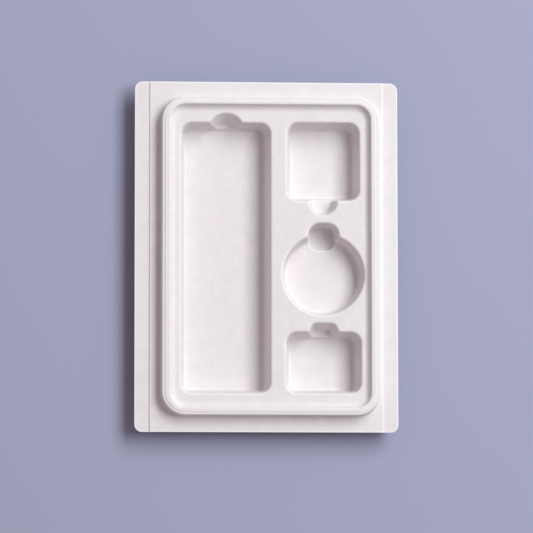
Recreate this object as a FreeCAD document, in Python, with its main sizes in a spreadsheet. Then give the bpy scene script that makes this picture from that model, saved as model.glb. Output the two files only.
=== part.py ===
import FreeCAD, Part
import math
import os

import Sketcher

# A thermoformed pulp insert: one thin fibre shell, pressed between an upper and a lower die.
# Both forms are built the same way, as drafted and filleted blocks that lie one pulp thickness
# apart, and the shell is what remains of the upper one when the lower one is cut from it.
# Frame: X across, Y along, Z out of the open face. Z = 0 is the underside of the deepest floors,
# and the origin lies under the middle of the flange.

SIZES = {
    # Pulp thickness, and how far the die block reaches below the floors
    "pulp": 1.2,
    "die_depth": 8,
    # Flange
    "flange_width": 180,
    "flange_length": 240,
    "flange_corner": 5.3,
    "flange_round": 0.4,
    # Heights, each measured from the deck: the sunken field that the pockets open into
    "pocket_depth": 18,
    "rim_rise": 4.5,
    "flange_drop": 4.5,
    # Side strips, pressed a step lower than the flange along both long edges
    "strip_width": 10.6,
    "strip_step": 0.8,
    "strip_slope": 45,
    # Raised rim around the deck: a flat crown with a sloping shoulder outside it
    "rim_offset": 2.6,
    "rim_width": 148.5,
    "rim_length": 217.4,
    "rim_corner": 16,
    "rim_draft": 5,
    "shoulder": 2.5,
    "shoulder_fall": 0.2,
    "crown_step": 0.4,
    # Opening inside the rim, down to the deck
    "opening_width": 137.1,
    "opening_length": 207.6,
    "opening_corner": 10.5,
    "opening_draft": 16,
    # Pockets, sized at deck level: a long one, and a column of three beside it
    "pocket_draft": 10.3,
    "pocket_corner": 7.5,
    "long_x": -28,
    "long_y": -1.2,
    "long_width": 61.3,
    "long_length": 185.4,
    "column_x": 38.65,
    "square_y": 64.9,
    "square_width": 49.5,
    "square_length": 54,
    "disc_y": -12.5,
    "disc_radius": 28,
    "disc_rise": 3,
    "short_y": -72.7,
    "short_width": 51.5,
    "short_length": 42.1,
    # Finger notches. A reach runs past the pocket's edge, and a rise lifts the notch's floor
    "notch_rise": 3.3,
    "long_reach": 6.6,
    "long_notch_radius": 12.9,
    "long_notch_draft": 21,
    "short_reach": 6.1,
    "short_notch_length": 14,
    "short_notch_top": 9.4,
    "short_notch_foot": 13.4,
    "short_notch_corner": 4.8,
    "short_notch_draft": 16,
    "square_reach": 9.9,
    "square_notch_width": 19,
    "square_notch_corner": 9.4,
    "square_notch_draft": 12,
    "square_notch_rise": 6,
    "disc_reach": 7.3,
    "disc_notch_width": 21.2,
    "disc_notch_length": 18.4,
    "disc_notch_corner": 8.5,
    "disc_notch_draft": 5,
    # Recess in the disc pocket's notch, with a crisp edge
    "recess_reach": 5.8,
    "recess_width": 18.8,
    "recess_length": 16.6,
    "recess_corner": 6.5,
    "recess_draft": 2,
    "recess_round": 0.8,
    # Roundings of the form
    "foot_round": 1.2,
    "rim_round": 1.1,
    "deck_round": 3.8,
    "crown_round": 0.9,
    "edge_round": 1.7,
    "floor_round": 2,
    "notch_round": 1.5,
}

# Levels along Z, worked out from the sheet
DECK = "sizes.pulp + sizes.pocket_depth"
FLANGE = DECK + " - sizes.flange_drop"
CROWN = DECK + " + sizes.rim_rise"
SHOULDER = CROWN + " - sizes.crown_step"

# A height or a direction closer than this counts as the same
SAME_LEVEL = 0.01
SMOOTH = 0.05

doc = FreeCAD.newDocument("insert_tray")
sheet = doc.addObject("Spreadsheet::Sheet", "sizes")
for row, (alias, size) in enumerate(SIZES.items(), start=1):
    sheet.set("A%d" % row, alias)
    sheet.set("B%d" % row, str(size))
    sheet.setAlias("B%d" % row, alias)
doc.recompute()


def value(expression):
    """What an expression in the named sizes comes to, in millimetres."""
    return float(sheet.evalExpression(expression))


# ---------------------------------------------------------------- sketches


def hold(sketch, name, expression, kind, *ends):
    """A named dimension of the sketch, driven by an expression."""
    index = sketch.addConstraint(Sketcher.Constraint(kind, *ends, value(expression)))
    sketch.renameConstraint(index, name)
    sketch.setExpression("Constraints." + name, expression)


def tie(sketch, kind, *ends):
    """A relation of the sketch that has no dimension, such as Equal or Tangent."""
    sketch.addConstraint(Sketcher.Constraint(kind, *ends))


def smooth_outline(sketch, bends):
    """Arcs given in order round a closed outline, each joined tangentially to the next.

    A bend is (x, y, radius, from angle, to angle) in degrees, clockwise where the angle falls.
    Returns the arcs, and the straight sides by the number of the bend that they follow.
    """
    arcs, starts, ends = [], [], []
    for x, y, radius, angle_from, angle_to in bends:
        circle = Part.Circle(FreeCAD.Vector(x, y, 0), FreeCAD.Vector(0, 0, 1), radius)
        low, high = sorted((math.radians(angle_from), math.radians(angle_to)))
        arc = Part.ArcOfCircle(circle, low, high)
        first, last = (1, arc.StartPoint), (2, arc.EndPoint)
        arcs.append(sketch.addGeometry(arc))
        starts.append(first if angle_from < angle_to else last)
        ends.append(last if angle_from < angle_to else first)
    sides = {}
    for here in range(len(bends)):
        there = (here + 1) % len(bends)
        leave, leave_at = ends[here]
        enter, enter_at = starts[there]
        if leave_at.distanceToPoint(enter_at) < 0.001:
            tie(sketch, "Tangent", arcs[here], leave, arcs[there], enter)
            continue
        side = sketch.addGeometry(Part.LineSegment(leave_at, enter_at))
        tie(sketch, "Tangent", arcs[here], leave, side, 1)
        tie(sketch, "Tangent", side, 2, arcs[there], enter)
        sides[here] = side
    return arcs, sides


def rounded_rectangle(sketch, width, length, corner):
    """A rectangle with equal rounded corners, centred on the sketch's origin."""
    radius = value(corner)
    x = value(width) / 2 - radius
    y = value(length) / 2 - radius
    bends = [
        (x, -y, radius, 270, 360),
        (x, y, radius, 0, 90),
        (-x, y, radius, 90, 180),
        (-x, -y, radius, 180, 270),
    ]
    arcs, sides = smooth_outline(sketch, bends)
    tie(sketch, "Vertical", sides[0])
    tie(sketch, "Horizontal", sides[1])
    for arc in arcs[1:]:
        tie(sketch, "Equal", arcs[0], arc)
    tie(sketch, "Symmetric", arcs[0], 3, arcs[2], 3, -1, 1)
    tie(sketch, "Symmetric", arcs[1], 3, arcs[3], 3, -1, 1)
    hold(sketch, "width", width, "DistanceX", sides[2], 1, sides[0], 2)
    hold(sketch, "length", length, "DistanceY", sides[3], 1, sides[1], 2)
    hold(sketch, "corner", corner, "Radius", arcs[0])


def rounded_trapezoid(sketch, top, foot, length, corner):
    """A trapezoid with equal rounded corners, standing on the sketch's origin.

    Its top and its foot are the lengths of the straight parts between the corners.
    """
    radius = value(corner)
    upper, lower = value(top) / 2, value(foot) / 2
    far = value(length) - radius
    flare = math.degrees(math.atan2(lower - upper, far - radius))
    bends = [
        (lower, radius, radius, 270, 360 + flare),
        (upper, far, radius, flare, 90),
        (-upper, far, radius, 90, 180 - flare),
        (-lower, radius, radius, 180 - flare, 270),
    ]
    arcs, sides = smooth_outline(sketch, bends)
    tie(sketch, "Horizontal", sides[1])
    tie(sketch, "Horizontal", sides[3])
    tie(sketch, "PointOnObject", sides[3], 1, -1)
    tie(sketch, "Equal", arcs[0], arcs[1])
    tie(sketch, "Symmetric", arcs[1], 3, arcs[2], 3, -2)
    tie(sketch, "Symmetric", arcs[0], 3, arcs[3], 3, -2)
    hold(sketch, "top", top, "DistanceX", sides[1], 2, sides[1], 1)
    hold(sketch, "foot", foot, "DistanceX", sides[3], 1, sides[3], 2)
    hold(sketch, "length", length, "DistanceY", sides[3], 1, sides[1], 1)
    hold(sketch, "corner", corner, "Radius", arcs[0])


def circle(sketch, radius):
    centre = FreeCAD.Vector(0, 0, 0)
    round_line = Part.Circle(centre, FreeCAD.Vector(0, 0, 1), value(radius))
    index = sketch.addGeometry(round_line)
    tie(sketch, "Coincident", index, 3, -1, 1)
    hold(sketch, "radius", radius, "Radius", index)


# ---------------------------------------------------------------- features


def middle(edge):
    return edge.valueAt((edge.FirstParameter + edge.LastParameter) / 2)


def places(shape):
    return {tuple(round(place, 3) for place in middle(edge)) for edge in shape.Edges}


class Die:
    """One form of the mould. Its top face lies a gap below the upper face of the pulp."""

    def __init__(self, name, gap, blunt):
        self.name = name
        self.gap = gap
        self.blunt = blunt
        self.body = doc.addObject("PartDesign::Body", name)
        self.body.Label = name
        origin = self.body.Origin.OriginFeatures
        self.ground = [item for item in origin if item.Role == "XY_Plane"][0]
        self.tip = None

    def side_step(self, draft):
        """How far a wall moves sideways, at the level of its sketch, to keep the gap."""
        return "%s * tan(45 - %s / 2)" % (self.gap, draft)

    def sketch(self, name, level, x="0", y="0"):
        """A sketch parallel to the ground plane, with its own origin at (x, y, level)."""
        sketch = self.body.newObject("Sketcher::SketchObject", self.name + "_" + name)
        sketch.AttachmentSupport = (self.ground, [""])
        sketch.MapMode = "FlatFace"
        for axis, place in zip("xyz", (x, y, level + " - " + self.gap)):
            sketch.setExpression("AttachmentOffset.Base." + axis, place)
        return sketch

    def feature(self, kind, name):
        self.tip = self.body.newObject("PartDesign::" + kind, self.name + "_" + name)
        return self.tip

    def raised(self, name, sketch, height, draft="0"):
        """A pad below the sketch, wider towards its foot by the draft angle."""
        pad = self.feature("Pad", name)
        pad.Profile = sketch
        pad.Reversed = True
        pad.setExpression("Length", height)
        pad.setExpression("TaperAngle", draft)
        doc.recompute()

    def sunken(self, name, sketch, depth, draft):
        """A pocket below the sketch, narrower towards its floor by the draft angle."""
        pocket = self.feature("Pocket", name)
        pocket.Profile = sketch
        pocket.setExpression("Length", depth)
        pocket.setExpression("TaperAngle", "-1 * " + draft)
        doc.recompute()

    def corners(self, before, outer, level=None):
        """Names of the outer or inner corner edges that the shape before did not have.

        With a level, only those at that height. Edges where two faces meet smoothly are left out.
        """
        old = places(before)
        shape = self.tip.Shape
        names = []
        for number, edge in enumerate(shape.Edges, start=1):
            point = middle(edge)
            if tuple(round(place, 3) for place in point) in old:
                continue
            heights = [vertex.Z for vertex in edge.Vertexes] + [point.z]
            if level:
                height = value(level + " - " + self.gap)
                if max(abs(place - height) for place in heights) > SAME_LEVEL:
                    continue
            faces = shape.ancestorsOfType(edge, Part.Face)
            normals = [face.normalAt(*face.Surface.parameter(point)) for face in faces]
            across = normals[0] - normals[-1]
            if across.Length < SMOOTH:
                continue
            if shape.isInside(point + across * 0.01, 0.0001, False) != outer:
                names.append("Edge%d" % number)
        return names

    def round_inner(self, name, radius, before, level):
        """Fillet the inner corners at a level: the gap makes the lower form's radius larger."""
        edges = self.corners(before, False, level)
        self.fillet(name, edges, "%s + %s" % (radius, self.gap))

    def round_outer(self, name, radius, before, level=None):
        """Fillet the outer corners, on a form that has them blunt."""
        if self.blunt:
            self.fillet(name, self.corners(before, True, level), radius)

    def fillet(self, name, edges, radius):
        base = self.tip
        fillet = self.feature("Fillet", name)
        fillet.Base = (base, edges)
        fillet.setExpression("Radius", radius)
        doc.recompute()


# ---------------------------------------------------------------- the two forms


def press_flange(die, margin, depth):
    """The flat field that everything else is pressed out of."""
    sketch = die.sketch("flange_outline", FLANGE)
    width = "sizes.flange_width + 2 * " + margin
    length = "sizes.flange_length + 2 * " + margin
    rounded_rectangle(sketch, width, length, "sizes.flange_corner")
    die.raised("flange", sketch, FLANGE + " + " + depth)


def press_rim(die):
    """The raised rim, with a shoulder that slopes away from its crown."""
    before = die.tip.Shape
    step = die.side_step("sizes.rim_draft")
    sketch = die.sketch("rim_outline", SHOULDER, "sizes.rim_offset")
    width = "sizes.rim_width - 2 * " + step
    length = "sizes.rim_length - 2 * " + step
    rounded_rectangle(sketch, width, length, "sizes.rim_corner - " + step)
    die.raised("rim", sketch, "sizes.flange_drop + sizes.rim_rise - sizes.crown_step", "sizes.rim_draft")
    edges = die.corners(before, True, SHOULDER)
    base = die.tip
    slope = die.feature("Chamfer", "shoulder")
    slope.Base = (base, edges)
    slope.ChamferType = "Two distances"
    slope.setExpression("Size", "sizes.shoulder_fall")
    slope.setExpression("Size2", "sizes.shoulder + sizes.crown_step / 2")
    doc.recompute()
    die.fillet("rim_foot", die.corners(before, False, FLANGE), "sizes.foot_round")
    die.round_outer("rim_edge", "sizes.rim_round", before, SHOULDER + " - sizes.shoulder_fall")


def press_crown(die):
    """The flat crown, standing a small step above the shoulder."""
    sketch = die.sketch("crown_outline", CROWN, "sizes.rim_offset")
    width = "sizes.rim_width - 2 * sizes.shoulder"
    length = "sizes.rim_length - 2 * sizes.shoulder"
    rounded_rectangle(sketch, width, length, "sizes.rim_corner - sizes.shoulder")
    die.raised("crown", sketch, "2 * sizes.crown_step")


def press_strips(die):
    """A lower strip along each long edge of the flange."""
    width = "2 * sizes.strip_width + 2 * " + die.side_step("sizes.strip_slope")
    length = "sizes.flange_length + 4 * sizes.strip_width"
    for side, edge in (("left", "-1 * sizes.flange_width / 2"), ("right", "sizes.flange_width / 2")):
        sketch = die.sketch(side + "_strip_outline", FLANGE, edge)
        rounded_rectangle(sketch, width, length, "sizes.strip_width / 2")
        die.sunken(side + "_strip", sketch, "sizes.strip_step", "sizes.strip_slope")


def press_opening(die):
    """The opening inside the rim, down to the deck."""
    before = die.tip.Shape
    step = die.side_step("sizes.opening_draft")
    sketch = die.sketch("opening_outline", CROWN, "sizes.rim_offset")
    width = "sizes.opening_width + 2 * " + step
    length = "sizes.opening_length + 2 * " + step
    rounded_rectangle(sketch, width, length, "sizes.opening_corner + " + step)
    die.sunken("opening", sketch, "sizes.rim_rise", "sizes.opening_draft")
    die.fillet("deck_foot", die.corners(before, False, DECK), "sizes.deck_round")
    die.round_outer("crown_edge", "sizes.crown_round", before, CROWN)


def sink_rectangle(die, name, place, size, corner, depth, draft):
    """Sink a rounded rectangle, whose place and size are given at deck level."""
    step = die.side_step(draft)
    sketch = die.sketch(name + "_outline", DECK, *place)
    width, length = (side + " + 2 * " + step for side in size)
    rounded_rectangle(sketch, width, length, corner + " + " + step)
    die.sunken(name, sketch, depth, draft)


def sink_circle(die, name, place, radius, depth, draft):
    sketch = die.sketch(name + "_outline", DECK, *place)
    circle(sketch, radius + " + " + die.side_step(draft))
    die.sunken(name, sketch, depth, draft)


def round_pocket(die, name, before, *floors):
    """Round the floors, given as (name, depth, radius) with the lowest first, then all edges."""
    for floor, depth, radius in floors:
        die.round_inner(name + "_" + floor, radius, before, DECK + " - " + depth)
    die.round_outer(name + "_edge", "sizes.edge_round", before)


def press_long_pocket(die):
    """The long pocket, with a round scoop at the middle of its far end."""
    before = die.tip.Shape
    depth, notch_depth = "sizes.pocket_depth", "(sizes.pocket_depth - sizes.notch_rise)"
    place = ("sizes.long_x", "sizes.long_y")
    size = ("sizes.long_width", "sizes.long_length")
    sink_rectangle(die, "long_pocket", place, size, "sizes.pocket_corner", depth, "sizes.pocket_draft")
    scoop_y = place[1] + " + sizes.long_length / 2 + sizes.long_reach - sizes.long_notch_radius"
    scoop = (place[0], scoop_y)
    sink_circle(die, "long_notch", scoop, "sizes.long_notch_radius", notch_depth, "sizes.long_notch_draft")
    floor = ("floor", depth, "sizes.floor_round")
    round_pocket(die, "long", before, floor, ("notch_floor", notch_depth, "sizes.notch_round"))


def press_short_pocket(die):
    """The short pocket, with a notch that narrows away from it at the middle of its far side."""
    before = die.tip.Shape
    depth, notch_depth = "sizes.pocket_depth", "(sizes.pocket_depth - sizes.notch_rise)"
    place = ("sizes.column_x", "sizes.short_y")
    size = ("sizes.short_width", "sizes.short_length")
    sink_rectangle(die, "short_pocket", place, size, "sizes.pocket_corner", depth, "sizes.pocket_draft")
    step = die.side_step("sizes.short_notch_draft")
    foot_y = place[1] + " + sizes.short_length / 2 + sizes.short_reach - sizes.short_notch_length"
    sketch = die.sketch("short_notch_outline", DECK, place[0], foot_y + " - " + step)
    length = "sizes.short_notch_length + 2 * " + step
    corner = "sizes.short_notch_corner + " + step
    rounded_trapezoid(sketch, "sizes.short_notch_top", "sizes.short_notch_foot", length, corner)
    die.sunken("short_notch", sketch, notch_depth, "sizes.short_notch_draft")
    floor = ("floor", depth, "sizes.floor_round")
    round_pocket(die, "short", before, floor, ("notch_floor", notch_depth, "sizes.notch_round"))


def press_square_pocket(die):
    """The square pocket, with a half-round notch towards the disc, well above its floor."""
    before = die.tip.Shape
    depth, notch_depth = "sizes.pocket_depth", "(sizes.pocket_depth - sizes.square_notch_rise)"
    place = ("sizes.column_x", "sizes.square_y")
    size = ("sizes.square_width", "sizes.square_length")
    sink_rectangle(die, "square_pocket", place, size, "sizes.pocket_corner", depth, "sizes.pocket_draft")
    notch_y = place[1] + " - sizes.square_length / 2 - sizes.square_reach + sizes.square_notch_width"
    notch = (place[0], notch_y)
    size = ("sizes.square_notch_width", "2 * sizes.square_notch_width")
    corner, draft = "sizes.square_notch_corner", "sizes.square_notch_draft"
    sink_rectangle(die, "square_notch", notch, size, corner, notch_depth, draft)
    floor = ("floor", depth, "sizes.floor_round")
    round_pocket(die, "square", before, floor, ("notch_floor", notch_depth, "sizes.notch_round"))


def press_disc_pocket(die):
    """A shallower round pocket, and in its notch a recess that sinks below its floor."""
    before = die.tip.Shape
    depth = "(sizes.pocket_depth - sizes.disc_rise)"
    place = ("sizes.column_x", "sizes.disc_y")
    sink_circle(die, "disc_pocket", place, "sizes.disc_radius", depth, "sizes.pocket_draft")
    far_y = place[1] + " + sizes.disc_radius"
    notch = (place[0], far_y + " + sizes.disc_reach - sizes.disc_notch_length / 2")
    size = ("sizes.disc_notch_width", "sizes.disc_notch_length")
    corner, draft = "sizes.disc_notch_corner", "sizes.disc_notch_draft"
    sink_rectangle(die, "disc_notch", notch, size, corner, depth, draft)
    round_pocket(die, "disc", before, ("floor", depth, "sizes.floor_round"))
    before = die.tip.Shape
    recess = (place[0], far_y + " + sizes.recess_reach - sizes.recess_length / 2")
    size = ("sizes.recess_width", "sizes.recess_length")
    depth = "sizes.pocket_depth"
    sink_rectangle(die, "recess", recess, size, "sizes.recess_corner", depth, "sizes.recess_draft")
    die.round_inner("recess_floor", "sizes.recess_round", before, DECK + " - " + depth)


def press_pockets(die):
    press_long_pocket(die)
    press_short_pocket(die)
    press_square_pocket(die)
    press_disc_pocket(die)


# The lower form reaches past the upper one all round, so that the cut leaves only the shell.
# It has no crown step, and its outer corners stay sharp, since their rounding would be no more
# than the edge rounding less the pulp: the pulp is a little thicker there.
lower = Die("lower_form", "sizes.pulp", blunt=False)
press_flange(lower, "sizes.die_depth", "2 * sizes.die_depth")
press_rim(lower)
press_strips(lower)
press_opening(lower)
press_pockets(lower)

upper = Die("insert_tray", "0", blunt=True)
press_flange(upper, "0", "sizes.die_depth")
sides = [face for face in upper.tip.Shape.Faces if abs(face.normalAt(0, 0).z) < SMOOTH]
press_rim(upper)
press_crown(upper)
press_strips(upper)
press_opening(upper)
press_pockets(upper)

shell = upper.feature("Boolean", "shell")
shell.Type = "Cut"
shell.setObjects([lower.body])
doc.recompute()

outline = Part.makeCompound(sides)
trimmed = []
for number, edge in enumerate(shell.Shape.Edges, start=1):
    lowest = value(FLANGE + " - sizes.strip_step") - SAME_LEVEL
    if edge.BoundBox.ZMin > lowest and outline.distToShape(Part.Vertex(middle(edge)))[0] < SAME_LEVEL:
        trimmed.append("Edge%d" % number)
upper.fillet("trimmed_edge", trimmed, "sizes.flange_round")

broken = []
for item in doc.Objects:
    if "Invalid" in item.State or "Error" in item.State:
        broken.append(item.Name)
    elif item.isDerivedFrom("PartDesign::Feature") and (item.Shape.isNull() or not item.Shape.isValid()):
        broken.append(item.Name)
if broken:
    raise RuntimeError("features that failed: " + ", ".join(broken))

os.makedirs("parts", exist_ok=True)
upper.body.Shape.exportStep("parts/insert_tray.step")
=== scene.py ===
import math

import bpy
from mathutils import Matrix, Vector


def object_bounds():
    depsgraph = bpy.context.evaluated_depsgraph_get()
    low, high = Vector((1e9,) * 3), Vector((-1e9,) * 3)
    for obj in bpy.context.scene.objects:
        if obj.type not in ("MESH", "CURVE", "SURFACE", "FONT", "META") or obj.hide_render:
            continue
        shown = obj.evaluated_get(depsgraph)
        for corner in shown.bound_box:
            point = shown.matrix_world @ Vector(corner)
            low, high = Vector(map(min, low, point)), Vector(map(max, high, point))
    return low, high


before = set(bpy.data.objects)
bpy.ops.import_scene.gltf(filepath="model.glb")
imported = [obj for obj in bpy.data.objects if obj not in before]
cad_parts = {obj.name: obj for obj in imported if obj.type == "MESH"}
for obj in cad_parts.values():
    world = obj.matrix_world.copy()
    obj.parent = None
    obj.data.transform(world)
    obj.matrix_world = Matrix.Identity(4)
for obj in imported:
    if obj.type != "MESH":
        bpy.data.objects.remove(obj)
cad_low, cad_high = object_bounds()

# ------------------------------------------------------------------ floor
# A wide sheet of matte blue-grey backdrop paper. The insert stands on it on its pocket
# floors, which hold its flange clear, so the flange throws a soft shadow under its edges.

# Lengths are in metres here and below, unless a name says millimetres
FLOOR_HALF = 3.0
# The paper lies a hair below the pocket floors, so that no two faces share one plane
FLOOR_GAP = 0.0001
FLOOR_COLOUR = "#a0a2ba"
FLOOR_ROUGHNESS = 0.9
FLOOR_SPECULAR = 0.2


def linear(hex_colour):
    """An sRGB hex value as the linear colour that a shader takes."""
    parts = [int(hex_colour[i : i + 2], 16) / 255 for i in (1, 3, 5)]
    parts = [c / 12.92 if c <= 0.04045 else ((c + 0.055) / 1.055) ** 2.4 for c in parts]
    return (*parts, 1.0)


# Uncoated paper, rolled smooth: no gloss, and hardly a sheen even at a low angle
paper = bpy.data.materials.new("matte_backdrop_paper")
paper.use_nodes = True
shader = paper.node_tree.nodes["Principled BSDF"]
shader.inputs["Base Color"].default_value = linear(FLOOR_COLOUR)
shader.inputs["Roughness"].default_value = FLOOR_ROUGHNESS
shader.inputs["Specular IOR Level"].default_value = FLOOR_SPECULAR

corners = [(x * FLOOR_HALF, y * FLOOR_HALF) for x, y in ((-1, -1), (1, -1), (1, 1), (-1, 1))]
floor_mesh = bpy.data.meshes.new("floor")
floor_mesh.from_pydata([(x, y, cad_low.z - FLOOR_GAP) for x, y in corners], [], [(0, 1, 2, 3)])
floor_mesh.materials.append(paper)
floor = bpy.data.objects.new("floor", floor_mesh)
bpy.context.collection.objects.link(floor)

# ------------------------------------------------------------------ insert
# One thin shell of white bagasse and bamboo fibre, pressed wet between two heated dies and
# trimmed to its outline. The hot press leaves a smooth, dry, matte face in which the fibres
# show only as faint cloudiness and short streaks.

PULP_COLOUR = "#e4e1e1"
ROSE_TINT = "#e8e0e1"
CLOUD_COLOUR = "#e0dcde"
FIBRE_COLOUR = "#ded9d8"
PULP_ROUGHNESS = 0.85
PULP_SPECULAR = 0.3

# The size of each pattern in millimetres, and how many finer layers of noise lie over it
TINT_MM, TINT_DETAIL = 15.0, 1.0
CLOUD_MM, CLOUD_DETAIL = 8.0, 4.0
GRAIN_MM, GRAIN_DETAIL = 0.45, 3.0
# A real fibre is about 0.05 mm wide: it is drawn as coarse as it needs to be to show
FIBRE_MM, FIBRE_DETAIL = 0.7, 2.0
FIBRE_STRETCH = 7.0
NOISE_ROUGHNESS = 0.55
# The span of the noise that is spread out to run from 0 to 1. That of the fibres starts at
# the middle, so that they lie apart from each other.
FIELD_SPAN = (0.38, 0.62)
FIBRE_SPAN = (0.5, 0.78)

# Height of the grain and the fibres, and how much of that bump the face shows
RELIEF = 0.04 / 1000
RELIEF_STRENGTH = 0.5

# Convex edges carry a painted highlight: their colour is mixed towards a paler one, as where
# a rounded edge catches the light. They are found by the share of the ways into the pulp that
# stay inside it for EDGE_MM: the paler colour starts where that falls to EDGE_START, and is
# full at EDGE_FULL.
EDGE_HIGHLIGHT_COLOUR = "#f5f2f2"
EDGE_MM = 1.1
EDGE_SAMPLES = 12
EDGE_START, EDGE_FULL = 0.97, 0.80


def add(tree, kind, settings=None, inputs=None):
    """Adds a node with its settings. An input is a value, or another node's output to link."""
    node = tree.nodes.new(kind)
    for key, setting in (settings or {}).items():
        setattr(node, key, setting)
    for key, given in (inputs or {}).items():
        if isinstance(given, bpy.types.NodeSocket):
            tree.links.new(given, node.inputs[key])
        else:
            node.inputs[key].default_value = given
    return node


# Hot-pressed bagasse pulp: a dry matte face, never glossy, uneven in tone at several scales
pulp = bpy.data.materials.new("hot_pressed_bagasse_pulp")
pulp.use_nodes = True
tree = pulp.node_tree
shader = tree.nodes["Principled BSDF"]
place = add(tree, "ShaderNodeTexCoord").outputs["Object"]

# Fibres lie in the sheet, mostly along the two ways that the wet mat was drawn onto the die
drawn = [
    add(tree, "ShaderNodeMapping", inputs={"Scale": scale, "Vector": place}).outputs["Vector"]
    for scale in ((1 / FIBRE_STRETCH, 1, 1), (1, 1 / FIBRE_STRETCH, 1))
]
patterns = []
for vector, size_mm, detail, (low, high) in (
    (drawn[0], FIBRE_MM, FIBRE_DETAIL, FIBRE_SPAN),
    (drawn[1], FIBRE_MM, FIBRE_DETAIL, FIBRE_SPAN),
    (place, TINT_MM, TINT_DETAIL, FIELD_SPAN),
    (place, CLOUD_MM, CLOUD_DETAIL, FIELD_SPAN),
    (place, GRAIN_MM, GRAIN_DETAIL, FIELD_SPAN),
):
    noise = add(
        tree,
        "ShaderNodeTexNoise",
        inputs={
            "Scale": 1000 / size_mm,
            "Detail": detail,
            "Roughness": NOISE_ROUGHNESS,
            "Vector": vector,
        },
    )
    spread = add(
        tree,
        "ShaderNodeMapRange",
        inputs={"From Min": low, "From Max": high, "Value": noise.outputs["Fac"]},
    )
    patterns.append(spread.outputs["Result"])
fibres_x, fibres_y, tint, clouds, grain = patterns
fibres = add(
    tree, "ShaderNodeMath", {"operation": "MAXIMUM"}, {0: fibres_x, 1: fibres_y}
).outputs["Value"]

pulp_behind = add(
    tree,
    "ShaderNodeAmbientOcclusion",
    {"inside": True, "only_local": True, "samples": EDGE_SAMPLES},
    {"Distance": EDGE_MM / 1000},
)
edge_highlight_mask = add(
    tree,
    "ShaderNodeMapRange",
    inputs={"From Min": EDGE_START, "From Max": EDGE_FULL, "Value": pulp_behind.outputs["AO"]},
).outputs["Result"]

# The colour is built up from the body of the sheet: rosy patches, clouds, streaks, and then
# a painted highlight on the convex edges
rosy = add(
    tree,
    "ShaderNodeMix",
    {"data_type": "RGBA"},
    {"Factor": tint, "A": linear(PULP_COLOUR), "B": linear(ROSE_TINT)},
)
clouded = add(
    tree,
    "ShaderNodeMix",
    {"data_type": "RGBA"},
    {"Factor": clouds, "A": linear(CLOUD_COLOUR), "B": rosy.outputs["Result"]},
)
streaked = add(
    tree,
    "ShaderNodeMix",
    {"data_type": "RGBA"},
    {"Factor": fibres, "A": clouded.outputs["Result"], "B": linear(FIBRE_COLOUR)},
)
# Painted highlight: the convex edges are mixed towards the paler highlight colour
highlighted = add(
    tree,
    "ShaderNodeMix",
    {"data_type": "RGBA"},
    {"Factor": edge_highlight_mask, "A": streaked.outputs["Result"], "B": linear(EDGE_HIGHLIGHT_COLOUR)},
)
tree.links.new(highlighted.outputs["Result"], shader.inputs["Base Color"])

relief = add(tree, "ShaderNodeMath", {"operation": "ADD"}, {0: grain, 1: fibres})
bump = add(
    tree,
    "ShaderNodeBump",
    inputs={
        "Strength": RELIEF_STRENGTH,
        "Distance": RELIEF,
        "Height": relief.outputs["Value"],
    },
)
tree.links.new(bump.outputs["Normal"], shader.inputs["Normal"])
shader.inputs["Roughness"].default_value = PULP_ROUGHNESS
shader.inputs["Specular IOR Level"].default_value = PULP_SPECULAR

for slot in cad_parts["insert_tray"].material_slots:
    slot.material = pulp

# ------------------------------------------------------------------ light and camera
# One long soft box hangs above the insert, to its right and a little to its far end, and an
# even, faintly rosy room fills the shadows. The camera looks nearly straight down.

KEY_WIDTH, KEY_LENGTH = 1.2, 2.6
KEY_WAY = Vector((0.66, 0.48, 1.0)).normalized()
KEY_DISTANCE = 2.6
KEY_POWER = 76.5
KEY_COLOUR = "#f6fdff"
ROOM_COLOUR, ROOM_STRENGTH = "#ffedf0", 0.36


def turn_to_face(way):
    """The turn that makes a lamp or a camera standing along this way look back, top to +Y."""
    across = Vector((0, 1, 0)).cross(way).normalized()
    return Matrix((across, way.cross(across), way)).transposed()


key_data = bpy.data.lights.new("key", "AREA")
key_data.shape = "RECTANGLE"
key_data.size, key_data.size_y = KEY_WIDTH, KEY_LENGTH
key_data.energy = KEY_POWER
key_data.color = linear(KEY_COLOUR)[:3]
key = bpy.data.objects.new("key", key_data)
key.location = KEY_WAY * KEY_DISTANCE
key.rotation_euler = turn_to_face(KEY_WAY).to_euler()
bpy.context.collection.objects.link(key)

room = bpy.data.worlds.new("room")
room.use_nodes = True
room_light = room.node_tree.nodes["Background"]
room_light.inputs["Color"].default_value = linear(ROOM_COLOUR)
room_light.inputs["Strength"].default_value = ROOM_STRENGTH
bpy.context.scene.world = room

# A long lens, from far off. The tilts lean the camera away from straight above its aim, and
# the frame width is what it takes in at the distance of its aim.
CAMERA_DISTANCE, CAMERA_REACH = 2.8, 20.0
FRAME_WIDTH = 0.3635
TILT_X, TILT_Y, ROLL = math.radians(-3.9), math.radians(-5.7), math.radians(-0.05)
AIM = Vector((0.0, -0.0068, 0.0147))

camera_way = Vector((math.tan(TILT_X), math.tan(TILT_Y), 1.0)).normalized()
camera_data = bpy.data.cameras.new("camera")
camera_data.lens = camera_data.sensor_width * CAMERA_DISTANCE / FRAME_WIDTH
camera_data.clip_end = CAMERA_REACH
camera = bpy.data.objects.new("camera", camera_data)
camera.location = AIM + camera_way * CAMERA_DISTANCE
camera.rotation_euler = (turn_to_face(camera_way) @ Matrix.Rotation(ROLL, 3, "Z")).to_euler()
bpy.context.collection.objects.link(camera)
bpy.context.scene.camera = camera
bpy.context.scene.view_settings.view_transform = "Standard"
